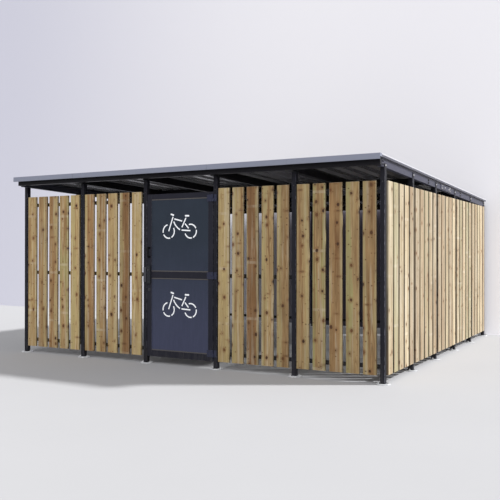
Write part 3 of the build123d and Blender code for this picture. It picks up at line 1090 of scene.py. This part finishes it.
@dataclass
class Cladding:
    """The boards of the front and the right side, with the rails, lugs and screws of every wall."""

    layout: Layout
    rng: random.Random
    lengths: int = 8
    arris: float = 0.003
    lean: float = 0.0022
    bow: float = 0.0012
    moods: int = 8
    pith_sway: float = 0.045
    pith_depth: Pair = (0.035, 0.02)
    seed: Pair = (20.0, 9.0)
    tone_drift: float = 0.1
    light_drift: float = 0.05
    rail_radius: float = 0.003
    lug_edge: float = 0.0006
    lines: dict[int, list[float]] = field(default_factory=lambda: {0: [], 1: []})

    # Each bay's first number paints light and shade across the front: lighter in bays 1 and 2, darker in bays
    # 4 and 5.
    FRONT_TONES = {
        1: (1.04, "HONEY TAN ROSY GREEN PALE"),
        2: (1.02, "ROSY TAN HONEY BROWN PALE"),
        4: (0.88, "PALE HONEY BROWN HONEY TAN"),
        5: (0.84, "HONEY GREEN ROSY GREEN TAN"),
    }
    SIDE_TONES = (Tone.TAN, Tone.HONEY, Tone.PALE, Tone.GREEN, Tone.BLEACHED)

    def saw(self, node: str, across: int, tones: Sequence[Tone], finish: Timber, shade: float = 1.0) -> None:
        """Saws and planes the boards of one bay, each a little bowed and leant.

        Args:
            node: the bay's CAD node.
            across: the axis that runs across the boards, 0 for X or 1 for Y.
            tones: one tone for each board.
            finish: the timber's finish.
            shade: how light the bay's timber is, a painted light falloff from left to right.
        """
        boards = solids(node)
        middles = [(low + high) / 2 for low, high in boards]
        half = (boards[0][1].z - boards[0][0].z) / 2
        self.lines[across] += [middle[across] for middle in middles]
        moods = [[self.rng.uniform(-1, 1) for _ in range(self.moods)] for _ in boards]

        def nearest(vert: BMVert) -> int:
            """The number of the board that a vertex belongs to."""
            return min(range(len(boards)), key=lambda i: abs(vert.co[across] - middles[i][across]))

        shape = bmesh.new()
        for low, high in boards:
            add_box(shape, low, high)
        long_edges = [e for e in shape.edges if upright(e)]
        bmesh.ops.subdivide_edges(shape, edges=long_edges, cuts=self.lengths - 1, use_grid_fill=True)
        for vert, index in [(vert, nearest(vert)) for vert in shape.verts]:
            mood = moods[index]
            rise = (vert.co.z - middles[index].z) / half
            arch = math.cos(rise * math.pi / 2)
            vert.co[across] += self.lean * (mood[0] + mood[1] * rise) + self.bow * mood[2] * arch
            vert.co[1 - across] += self.bow * 0.5 * mood[3] * arch
        ease(shape, self.arris, 2)
        grain, cut, tone = (shape.verts.layers.float_vector.new(name) for name in ("grain", "cut", "tone"))
        (depth, depth_drift), (seed, seed_drift) = self.pith_depth, self.seed
        for vert in shape.verts:
            index = nearest(vert)
            local = vert.co - middles[index]
            mood = moods[index]
            heart, green, value = tones[index].value
            vert[grain] = (local[across], local[1 - across], local.z)
            vert[cut] = (mood[4] * self.pith_sway, depth + depth_drift * mood[5], seed + seed_drift * mood[6])
            heart += self.tone_drift * mood[5]
            green = max(0.0, green + self.tone_drift * mood[4])
            vert[tone] = (heart, green, shade * value * (1 + self.light_drift * mood[7]))
        set_piece(f"{node}_planks", shape, finish, replaced=[node])

    def walls(self) -> None:
        """Saws the boards of the front and the right side."""
        for number, (shade, names) in self.FRONT_TONES.items():
            tones = [Tone[name] for name in names.split()]
            self.saw(f"front_boards_{number}", 0, tones, PALETTE.front_timber, shade)
        for number in range(1, 6):
            tones = self.rng.choices(self.SIDE_TONES, k=5)
            self.saw(f"right_boards_{number}", 1, tones, PALETTE.side_timber)

    def rails(self) -> None:
        """Rolls the rails' corners, and fits lugs and screws on their inner faces."""
        lugs, screws = bmesh.new(), bmesh.new()
        for node in ("front_rails", "back_rails", "right_rails"):
            dress(f"{node}_tube", node, PALETTE.rail, self.rail_radius)
        for node, lug, across, inward, lines in (
            ("front_rails", STRAIGHT, 0, 1, self.lines[0]),
            ("right_rails", STRAIGHT, 1, -1, self.lines[1]),
            ("back_rails", FOLDED, 0, -1, []),
        ):
            for rail in solids(node):
                for spot in self.fit_rail(lugs, rail, lug, across, inward, lines):
                    BUTTON.drive(screws, spot, wall_point(across, 0.0, inward, 0.0))
        ease(lugs, self.lug_edge, 1)
        set_piece("rail_lugs", lugs, PALETTE.rail)
        set_piece("board_screws", screws, PALETTE.bright)

    @staticmethod
    def fit_rail(
        lugs: BMesh, rail: Solid, lug: Lug, across: int, inward: int, lines: Sequence[float],
    ) -> list[Vector]:
        """Fits one rail with a lug at each end and finds where its screws go.

        Args:
            lugs: the shape that the lugs join.
            rail: the rail's box.
            lug: what is fitted.
            across: the axis that the rail runs along.
            inward: which way the lugs lie, on the other level axis.
            lines: the middles of the boards along that wall.

        Returns:
            The places of the screws in the lugs and behind the boards.
        """
        low, high = rail
        middle, half = (low.z + high.z) / 2, lug.height / 2
        face = (high if inward > 0 else low)[1 - across]
        places = []
        for end, way in ((low[across], 1), (high[across], -1)):
            for start, stop, depth in lug.blocks:
                first = wall_point(across, end + way * start, face, middle - half)
                last = wall_point(across, end + way * stop, face + inward * depth, middle + half)
                add_box(lugs, first, last)
            places += [(end + way * step, face + inward * lug.thickness) for step in lug.screws]
        places += [(line, face) for line in lines if low[across] < line < high[across]]
        return [wall_point(across, along, depth, middle) for along, depth in places]

    def build(self) -> None:
        """Makes the boards and rails."""
        self.walls()
        self.rails()


@dataclass
class RoofFrame:
    """The beams, rafters and purlins under the roof, with their splice plates and bolts."""

    layout: Layout
    rolled: float = 0.002
    bolt_rows: Pair = (0.022, 0.056)
    splice_ends: Pair = (2.331, 2.738)
    splice_middles: Pair = (2.473, 2.678)
    front_pair: float = -0.040
    back_pairs: Pair = (0.075, 0.022)
    tab_bolt: float = 0.036
    corner_bolt: Pair = (0.030, 0.018)
    post_bolt: float = 2.075
    web: float = 0.025
    web_ends: Pair = (0.03, 0.08)
    web_purlin: float = 0.045

    def steel(self) -> None:
        """Rolls the edges of the beams, rafters, purlins and splice plates."""
        for node in ("front_beam", "back_beam", "side_beams", "inner_rafters", "purlins", "splice_plates"):
            # Side beams and splice plates take the lighter steel, which paints sunlight on them.
            finish = PALETTE.side_beam if node in ("side_beams", "splice_plates") else PALETTE.beam
            dress(f"{node}_rolled", node, finish, self.rolled)

    def bolts(self) -> None:
        """Bolts the side beams, their splice plates, the inner rafters and the heads of the front posts."""
        layout, rows = self.layout, self.bolt_rows
        bright, dark = bmesh.new(), bmesh.new()
        beam, splice = (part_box(node)[1].x for node in ("side_beams", "splice_plates"))
        run = (layout.back - layout.front) / math.cos(layout.roof.angle)
        pairs = (self.front_pair, run / 3, run * 2 / 3, *(run - inset for inset in self.back_pairs))
        tabs = [*((y - layout.front, self.tab_bolt) for y in layout.post_y), self.corner_bolt]
        plates = [(along, height) for along in self.splice_ends for height in rows]
        plates += [(along, sum(rows) / 2) for along in self.splice_middles]
        for side in (-1, 1):
            for shape, fixing, face, places in (
                (bright, BEAM_BOLT, layout.side, tabs),
                (dark, DARK_BOLT, beam, [(along, height) for along in pairs for height in rows]),
                (bright, BEAM_BOLT, splice, plates),
            ):
                for along, height in places:
                    spot = layout.roof.point(side * face, along, height)
                    fixing.drive(shape, spot, Vector((float(side), 0.0, 0.0)))
        start, end = self.web_ends
        joints = (start, run / 3 - self.web_purlin, run * 2 / 3 - self.web_purlin, run - end)
        for x in layout.post_x[1:-1]:
            for along, height in ((along, height) for along in joints for height in rows):
                spot = layout.roof.point(x + self.web, along, height)
                SMALL_BOLT.drive(dark, spot, Vector((1.0, 0.0, 0.0)))
        for x in layout.post_x:
            SMALL_BOLT.drive(dark, Vector((x, layout.front, self.post_bolt)), FORWARDS)
        set_piece("beam_bolts", bright, PALETTE.bright)
        set_piece("dark_bolts", dark, PALETTE.fitting)

    def build(self) -> None:
        """Makes the steel and its bolts."""
        self.steel()
        self.bolts()


@dataclass
class RoofCover:
    """The ribbed sheets with their laps and screws, and the folded trims round them."""

    layout: Layout
    fold: float = 0.0012
    ribs: int = 25
    lap_ribs: tuple[int, ...] = (4, 9, 14, 19)
    lap_reach: float = 0.36
    lap_lift: float = 0.0012
    joint: float = 0.0016
    tuck: Vector = Vector((0.0, 0.0008, -0.0004))
    trim_edge: float = 0.0006
    valley: float = 0.087
    # Height over the roof plane where the side trims' painted highlight band starts.
    highlight_band_height: float = 0.108
    screw_ways: tuple[float, ...] = (-0.100, 1.684, 3.368, 5.030)
    rivets: int = 11
    rivet_start: float = -0.08
    rivet_spacing: float = 0.5
    rivet_height: float = 0.101

    def across(self, ribs: float) -> float:
        """The place across the roof that lies some ribs from its left end."""
        low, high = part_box("roof_sheet")
        return low.x + ribs * (high.x - low.x) / self.ribs

    def cut_out(self, node: str, start: float, end: float) -> BMesh:
        """Cuts a length out of a CAD node's copy and closes its ends.

        Args:
            node: the CAD node.
            start: where the length starts along X.
            end: where it ends.

        Returns:
            The length.
        """
        shape = welded_copy(node)
        for x, way in ((start, -1.0), (end, 1.0)):
            cut = bmesh.ops.bisect_plane(
                shape, geom=[*shape.verts, *shape.edges, *shape.faces], dist=1e-6,
                plane_co=(x, 0.0, 0.0), plane_no=(way, 0.0, 0.0), clear_outer=True,
            )
            rim = [part for part in cut["geom_cut"] if isinstance(part, BMEdge)]
            if rim:
                bmesh.ops.holes_fill(shape, edges=rim)
        return shape

    def sheets(self) -> None:
        """Folds the ribbed sheet and lays a lap over every fifth rib."""
        dress("ribbed_sheet", "roof_sheet", PALETTE.roof, self.fold, 1, corner=math.radians(20))
        for number, rib in enumerate(self.lap_ribs, 1):
            middle = rib + 0.5
            lap = self.cut_out(
                "roof_sheet", self.across(middle - self.lap_reach), self.across(middle + self.lap_reach),
            )
            bmesh.ops.translate(lap, verts=lap.verts, vec=self.layout.roof.direction(0.0, self.lap_lift))
            set_piece(f"sheet_lap_{number}", lap, PALETTE.roof)

    def screws(self) -> None:
        """Screws the sheets down in each valley, over the beams and purlins."""
        shape = bmesh.new()
        for along in self.screw_ways:
            for valley in range(1, self.ribs):
                spot = self.layout.roof.point(self.across(valley), along, self.valley)
                ROOF_SCREW.drive(shape, spot, self.layout.roof.direction(0.0, 1.0))
        set_piece("roof_screws", shape, PALETTE.bright)

    def front_lengths(self) -> None:
        """Cuts the front trim into lengths a bay long, each lapped behind the one before."""
        low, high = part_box("front_trim")
        joints = [low.x - 1.0, *self.layout.post_x[1:-1], high.x + 1.0]
        whole = bmesh.new()
        for number, (start, end) in enumerate(zip(joints, joints[1:])):
            length = self.cut_out("front_trim", start + self.joint / 2, end - self.joint / 2)
            if number % 2:
                bmesh.ops.translate(length, verts=length.verts, vec=self.tuck)
            carried = bpy.data.meshes.new("carried")
            length.to_mesh(carried)
            length.free()
            whole.from_mesh(carried)
            bpy.data.meshes.remove(carried)
        ease(whole, self.trim_edge, 1)
        set_piece("front_trim_lengths", whole, PALETTE.trim, replaced=["front_trim"])

    def trims(self) -> None:
        """Folds the back trim, and the side trims with a painted highlight band along their top and a row of
        rivets.
        """
        dress("back_trim_folded", "back_trim", PALETTE.trim, self.trim_edge, 1)
        roof = self.layout.roof
        sides = welded_copy("side_trims")
        foot, square = roof.point(0.0, 0.0, self.highlight_band_height), roof.direction(0.0, 1.0)
        bmesh.ops.bisect_plane(
            sides, geom=[*sides.verts, *sides.edges, *sides.faces], dist=1e-6, plane_co=foot, plane_no=square,
        )
        ease(sides, self.trim_edge, 1)
        # Faces above the band take the near-white rim colour: a painted highlight along the trim's top.
        layer = edge_layer(sides)
        for face in sides.faces:
            face[layer] = float((face.calc_center_median() - foot).dot(square) > 0.0)
        set_piece("side_trims_folded", sides, PALETTE.side_trim, replaced=["side_trims"])
        rivets = bmesh.new()
        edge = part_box("side_trims")[1].x
        for side in (-1, 1):
            for index in range(self.rivets):
                along = self.rivet_start + self.rivet_spacing * index
                spot = roof.point(side * edge, along, self.rivet_height)
                BUTTON.drive(rivets, spot, Vector((float(side), 0.0, 0.0)))
        set_piece("trim_rivets", rivets, PALETTE.bright)

    def build(self) -> None:
        """Makes the sheets, their screws and the trims."""
        self.sheets()
        self.screws()
        self.front_lengths()
        self.trims()


@dataclass
class Pictogram:
    """A bicycle in stencilled strokes that join a shape round a middle, with the front wheel on the left."""

    shape: BMesh
    middle: Vector
    stroke: float = 0.0148
    rounding: float = 0.3
    arc_steps: int = 14
    paint: float = 0.0006
    wheel: float = 0.081
    hubs: Pair = (-0.156, 0.157)
    axle: float = -0.063
    sweep: tuple[float, float, float, float, float] = (0.101, 0.132, 0.200, 203, 242)
    WHEEL_ARCS = (((103, 190), (207, 285), (300, 390)), ((25, 107), (-65, 10), (-160, -78)))
    BARS = (
        (-0.156, -0.060, -0.093, 0.111, 0.0150),
        (-0.127, 0.143, -0.080, 0.129, 0.0185),
        (-0.076, 0.085, 0.037, 0.058, 0.0150),
        (0.034, -0.016, 0.092, 0.096, 0.0150),
        (0.077, 0.120, 0.137, 0.118, 0.0190),
        (0.078, 0.027, 0.129, -0.030, 0.0150),
        (0.029, -0.049, 0.155, -0.057, 0.0150),
    )

    def bar(self, start: Vector, end: Vector, width: float) -> None:
        """Adds a straight stroke with rounded ends.

        Args:
            start: where it starts.
            end: where it ends.
            width: its width.
        """
        run = end - start
        turn = Matrix.Translation((start + end) / 2) @ Matrix.Rotation(-math.atan2(run.z, run.x), 4, "Y")
        half = Vector((run.length / 2, self.paint / 2, width / 2))
        edges = {edge for vert in add_box(self.shape, -half, half, turn) for edge in vert.link_edges}
        corners = [e for e in edges if abs(e.verts[0].co.y - e.verts[1].co.y) > self.paint / 2]
        bevel(self.shape, corners, width * self.rounding, 4)

    def arc(self, hub: Vector, radius: float, start: float, end: float) -> None:
        """Adds a curved stroke round a hub.

        Args:
            hub: the curve's middle.
            radius: the radius of the stroke's middle line.
            start: the angle that it starts at, in degrees from +X towards +Z.
            end: the angle that it ends at.
        """
        angle = math.radians(start)
        radial = Vector((math.cos(angle), 0.0, math.sin(angle)))
        corners = [
            hub + radial * (radius + side * self.stroke / 2) + Vector((0.0, depth * self.paint / 2, 0.0))
            for side, depth in ((-1, -1), (1, -1), (1, 1), (-1, 1))
        ]
        face = self.shape.faces.new([self.shape.verts.new(corner) for corner in corners])
        bmesh.ops.spin(
            self.shape, geom=[face, *face.edges, *face.verts], cent=hub, axis=FORWARDS,
            angle=math.radians(end - start), steps=self.arc_steps, use_merge=False, use_duplicate=False,
        )

    def draw(self) -> None:
        """Adds the whole bicycle."""
        for hub, arcs in zip(self.hubs, self.WHEEL_ARCS):
            for start, end in arcs:
                self.arc(self.middle + Vector((hub, 0.0, self.axle)), self.wheel, start, end)
        across, up, radius, start, end = self.sweep
        self.arc(self.middle + Vector((across, 0.0, up)), radius, start, end)
        for x0, z0, x1, z1, width in self.BARS:
            self.bar(self.middle + Vector((x0, 0.0, z0)), self.middle + Vector((x1, 0.0, z1)), width)


@dataclass
class Door:
    """The door leaf with its panels and pictograms, and all its hinges and locks."""

    layout: Layout
    tube: float = 0.0025
    panel_edge: float = 0.0005
    bead_width: float = 0.012
    bead_depth: float = 0.004
    bead_edge: float = 0.001
    paint_sink: float = 0.0003
    pictogram_heights: Pair = (1.661, 0.728)
    hinge_edge: float = 0.0012
    leaf_thickness: float = 0.006
    leaf_screws: Pair = (0.014, 0.0525)
    post_screw: float = 0.0162
    screw_drops: Pair = (0.064, 0.016)
    pin: float = 0.009
    cap: float = 0.0105
    cap_height: float = 0.0025
    cap_taper: float = 0.85
    cylinder: Pair = (0.052, 0.015)
    eye: Pair = (0.896, 0.019)
    rose_height: float = 0.003
    rose_sides: int = 32
    rose_taper: float = 0.93
    plug: float = 0.0085
    plug_top: float = 0.0078
    plug_height: float = 0.004
    key_slot: Vector = Vector((0.0012, 0.0003, 0.0055))
    slot_stand: float = 0.0001
    lock_screw: float = 0.018

    def leaf(self) -> None:
        """Rolls the leaf's tubes, folds the panels and frames them with beads."""
        for node in ("door_stiles", "door_rails"):
            dress(f"{node}_tube", node, PALETTE.door, self.tube, body=Body.DOOR)
        level, standing = bmesh.new(), bmesh.new()
        width = self.bead_width
        for node in ("door_panel_lower", "door_panel_upper"):
            dress(f"{node}_sheet", node, PALETTE.panel, self.panel_edge, 1, Body.DOOR)
            low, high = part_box(node)
            for face, skin in ((low.y, low.y - self.bead_depth), (high.y, high.y + self.bead_depth)):
                for end, way in ((low, 1), (high, -1)):
                    add_box(level, (low.x, face, end.z), (high.x, skin, end.z + way * width))
                    first = (end.x, face, low.z + width)
                    add_box(standing, first, (end.x + way * width, skin, high.z - width))
        # The level beads carry painted highlight lines; the upright beads keep the panel's colour.
        for name, beads, finish in (
            ("level_beads_highlit", level, PALETTE.bead), ("upright_beads", standing, PALETTE.panel),
        ):
            ease(beads, self.bead_edge, 2)
            set_piece(name, beads, finish, Body.DOOR)

    def pictograms(self) -> None:
        """Stencils a bicycle on each panel."""
        shape = bmesh.new()
        for node, height in zip(("door_panel_upper", "door_panel_lower"), self.pictogram_heights):
            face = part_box(node)[0].y
            Pictogram(shape, Vector((0.0, face - self.paint_sink, height))).draw()
        set_piece("bicycle_stencils", shape, PALETTE.stencil, Body.DOOR)

    def hinges(self) -> None:
        """Eases the hinge leaves and adds their screws and pin caps."""
        for node, body in (("door_hinge_leaves", Body.DOOR), ("post_hinge_leaves", Body.SHELTER)):
            dress(f"{node}_eased", node, PALETTE.hinge, self.hinge_edge, body=body)
            screws = bmesh.new()
            for low, high in solids(node):
                columns = [high.x - self.post_screw]
                if body is Body.DOOR:
                    columns = [low.x + inset for inset in self.leaf_screws]
                for x, drop in ((x, drop) for x in columns for drop in self.screw_drops):
                    BUTTON.drive(screws, Vector((x, high.y - self.leaf_thickness, high.z - drop)), FORWARDS)
            set_piece(f"{node}_screws", screws, PALETTE.fitting, body)
        caps = bmesh.new()
        for low, high in solids("post_hinge_leaves"):
            spot = Vector((low.x + self.pin, low.y + self.pin, high.z))
            add_disc(caps, spot, UP, self.cap, self.cap_height, taper=self.cap_taper)
        set_piece("pin_caps", caps, PALETTE.hinge)

    def locks(self) -> None:
        """Eases the lock, the handle and the strike, and adds the cylinder and the round eye below."""
        for node, body, radius, finish in (
            ("door_lock", Body.DOOR, 0.002, PALETTE.lock),
            ("door_handle", Body.DOOR, 0.0012, PALETTE.handle),
            ("door_strike", Body.SHELTER, 0.0015, PALETTE.strike),
        ):
            dress(f"{node}_eased", node, finish, radius, body=body)
        low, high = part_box("door_lock")
        x = (low.x + high.x) / 2
        fittings, slots = bmesh.new(), bmesh.new()
        drop, rose = self.cylinder
        eye_height, eye_rose = self.eye
        for face, z, radius in ((low.y, high.z - drop, rose), (self.layout.front, eye_height, eye_rose)):
            foot, plug_foot = Vector((x, face, z)), Vector((x, face - self.rose_height, z))
            taper = self.plug_top / self.plug
            add_disc(fittings, foot, FORWARDS, radius, self.rose_height, self.rose_sides, self.rose_taper)
            add_disc(fittings, plug_foot, FORWARDS, self.plug, self.plug_height, taper=taper)
            middle = plug_foot + FORWARDS * (self.plug_height + self.slot_stand)
            add_box(slots, middle - self.key_slot, middle + self.key_slot)
        for z in (low.z + self.lock_screw, high.z - self.lock_screw):
            BUTTON.drive(fittings, Vector((x, low.y, z)), FORWARDS)
        set_piece("lock_cylinders", fittings, PALETTE.fitting, Body.DOOR)
        set_piece("key_slots", slots, PALETTE.rail, Body.DOOR)

    def build(self) -> None:
        """Makes the leaf and its fittings."""
        self.leaf()
        self.pictograms()
        self.hinges()
        self.locks()


def main() -> None:
    """Builds the scene and the sub-assemblies in order."""
    logging.basicConfig(level=logging.INFO, format="%(message)s")
    layout = Layout()
    cladding = Cladding(layout, random.Random(11))
    for part in (Studio(), PostFrame(layout), cladding, RoofFrame(layout), RoofCover(layout), Door(layout)):
        part.build()


if __name__ == "__main__":
    main()
